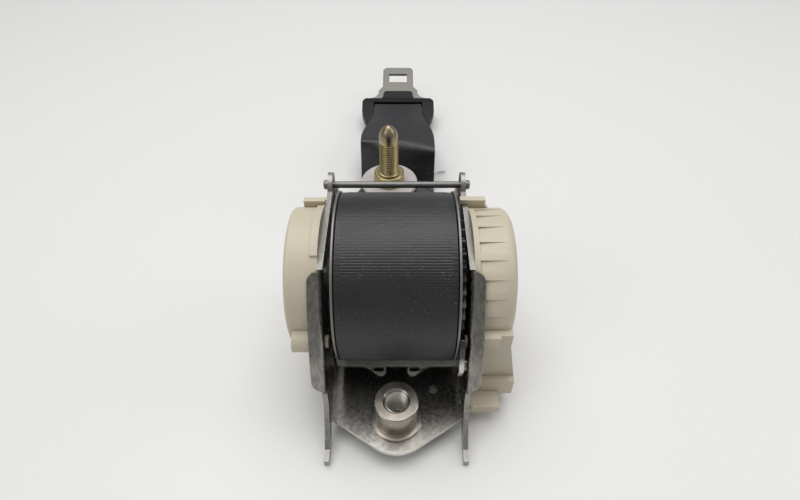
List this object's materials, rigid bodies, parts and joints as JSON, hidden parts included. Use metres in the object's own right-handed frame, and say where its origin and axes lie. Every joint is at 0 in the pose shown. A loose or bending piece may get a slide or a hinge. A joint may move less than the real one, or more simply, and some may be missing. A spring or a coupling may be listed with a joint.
{
  "type": "seat belt retractor",
  "caption": "Vehicle seat belt reel in a folded steel frame, with its belt, latch tongue and floor anchor bolt, locking pawl and crash sensor.",
  "frame": {"origin": "axis of the threaded collar, on the outer face of the frame's back plate", "axes": "+X across the belt towards the sensor's side, +Y the way the belt leaves the reel, +Z away from the mounting face along the collar's axis"},
  "size_m": [0.0969, 0.3028, 0.0872],
  "materials": {
    "frame_steel": "satin, zinc plated sheet",
    "bright_steel": "bright, turned",
    "collar_steel": "satin, zinc plated",
    "guide_plastic": "fine matt",
    "ivory_nylon": "satin",
    "spool_plastic": "satin",
    "black_plastic": "fine grain",
    "webbing": "woven polyester",
    "spring_steel": "blued strip",
    "tongue_steel": "satin nickel",
    "yellow_zinc": "yellow zinc",
    "anchor_steel": "black",
    "white_washer": "translucent"
  },
  "bodies": {
    "reel": {"frame": "frame_steel", "collar": "collar_steel", "tie_rod": "bright_steel", "webbing_guide": "guide_plastic", "left_bush": "ivory_nylon", "right_bush": "ivory_nylon", "pawl_pin": "bright_steel", "spring_base": "ivory_nylon", "spring_cover": "ivory_nylon", "clock_spring": "spring_steel", "left_snap_pins": "ivory_nylon", "right_snap_pins": "ivory_nylon", "sensor_base": "ivory_nylon", "sensor_cover": "ivory_nylon", "sensor_housing": "guide_plastic", "belt_strap": "webbing"},
    "spool_set": {"spool": "spool_plastic", "webbing_roll": "webbing", "shaft": "bright_steel", "ratchet_wheel": "bright_steel", "spring_arbor": "black_plastic", "lock_gear": "black_plastic"},
    "pawl": {"lock_pawl": "bright_steel"},
    "lever": {"sensor_lever": "black_plastic"},
    "ball": {"sensor_ball": "bright_steel"},
    "tongue": {"tongue_blade": "tongue_steel", "tongue_grip": "black_plastic"},
    "anchor": {"anchor_plate": "anchor_steel"},
    "bolt": {"anchor_bolt": "yellow_zinc", "wave_washer": "spring_steel", "retaining_washer": "white_washer", "spacer": "yellow_zinc"}
  },
  "joints": [
    {"name": "spool_spin", "type": "hinge", "parent": "reel", "child": "spool_set", "pos_m": [0, 0.0474, 0.042], "axis": [1, 0, 0], "continuous": true},
    {"name": "pawl_swing", "type": "hinge", "parent": "reel", "child": "pawl", "pos_m": [0.0262, 0.0115, 0.027], "axis": [1, 0, 0], "range_deg": [-12, 0]},
    {"name": "ball_roll", "type": "hinge", "parent": "reel", "child": "ball", "pos_m": [0.0388, 0.024, 0.0102], "axis": [1, 0, 0], "continuous": true},
    {"name": "lever_tilt", "type": "hinge", "parent": "reel", "child": "lever", "pos_m": [0.0388, 0.0188, 0.0177], "axis": [1, 0, 0], "range_deg": [0, 7]},
    {"name": "tongue_tilt", "type": "hinge", "parent": "reel", "child": "tongue", "pos_m": [0, 0.2364, 0.0007], "axis": [1, 0, 0], "range_deg": [0, 10]},
    {"name": "anchor_tilt", "type": "hinge", "parent": "reel", "child": "anchor", "pos_m": [0, 0.1225, 0.0095], "axis": [1, 0, 0], "range_deg": [0, 15]},
    {"name": "bolt_spin", "type": "hinge", "parent": "anchor", "child": "bolt", "pos_m": [-0.005, 0.1474, 0.0095], "axis": [0, 0, 1], "continuous": true}
  ]
}
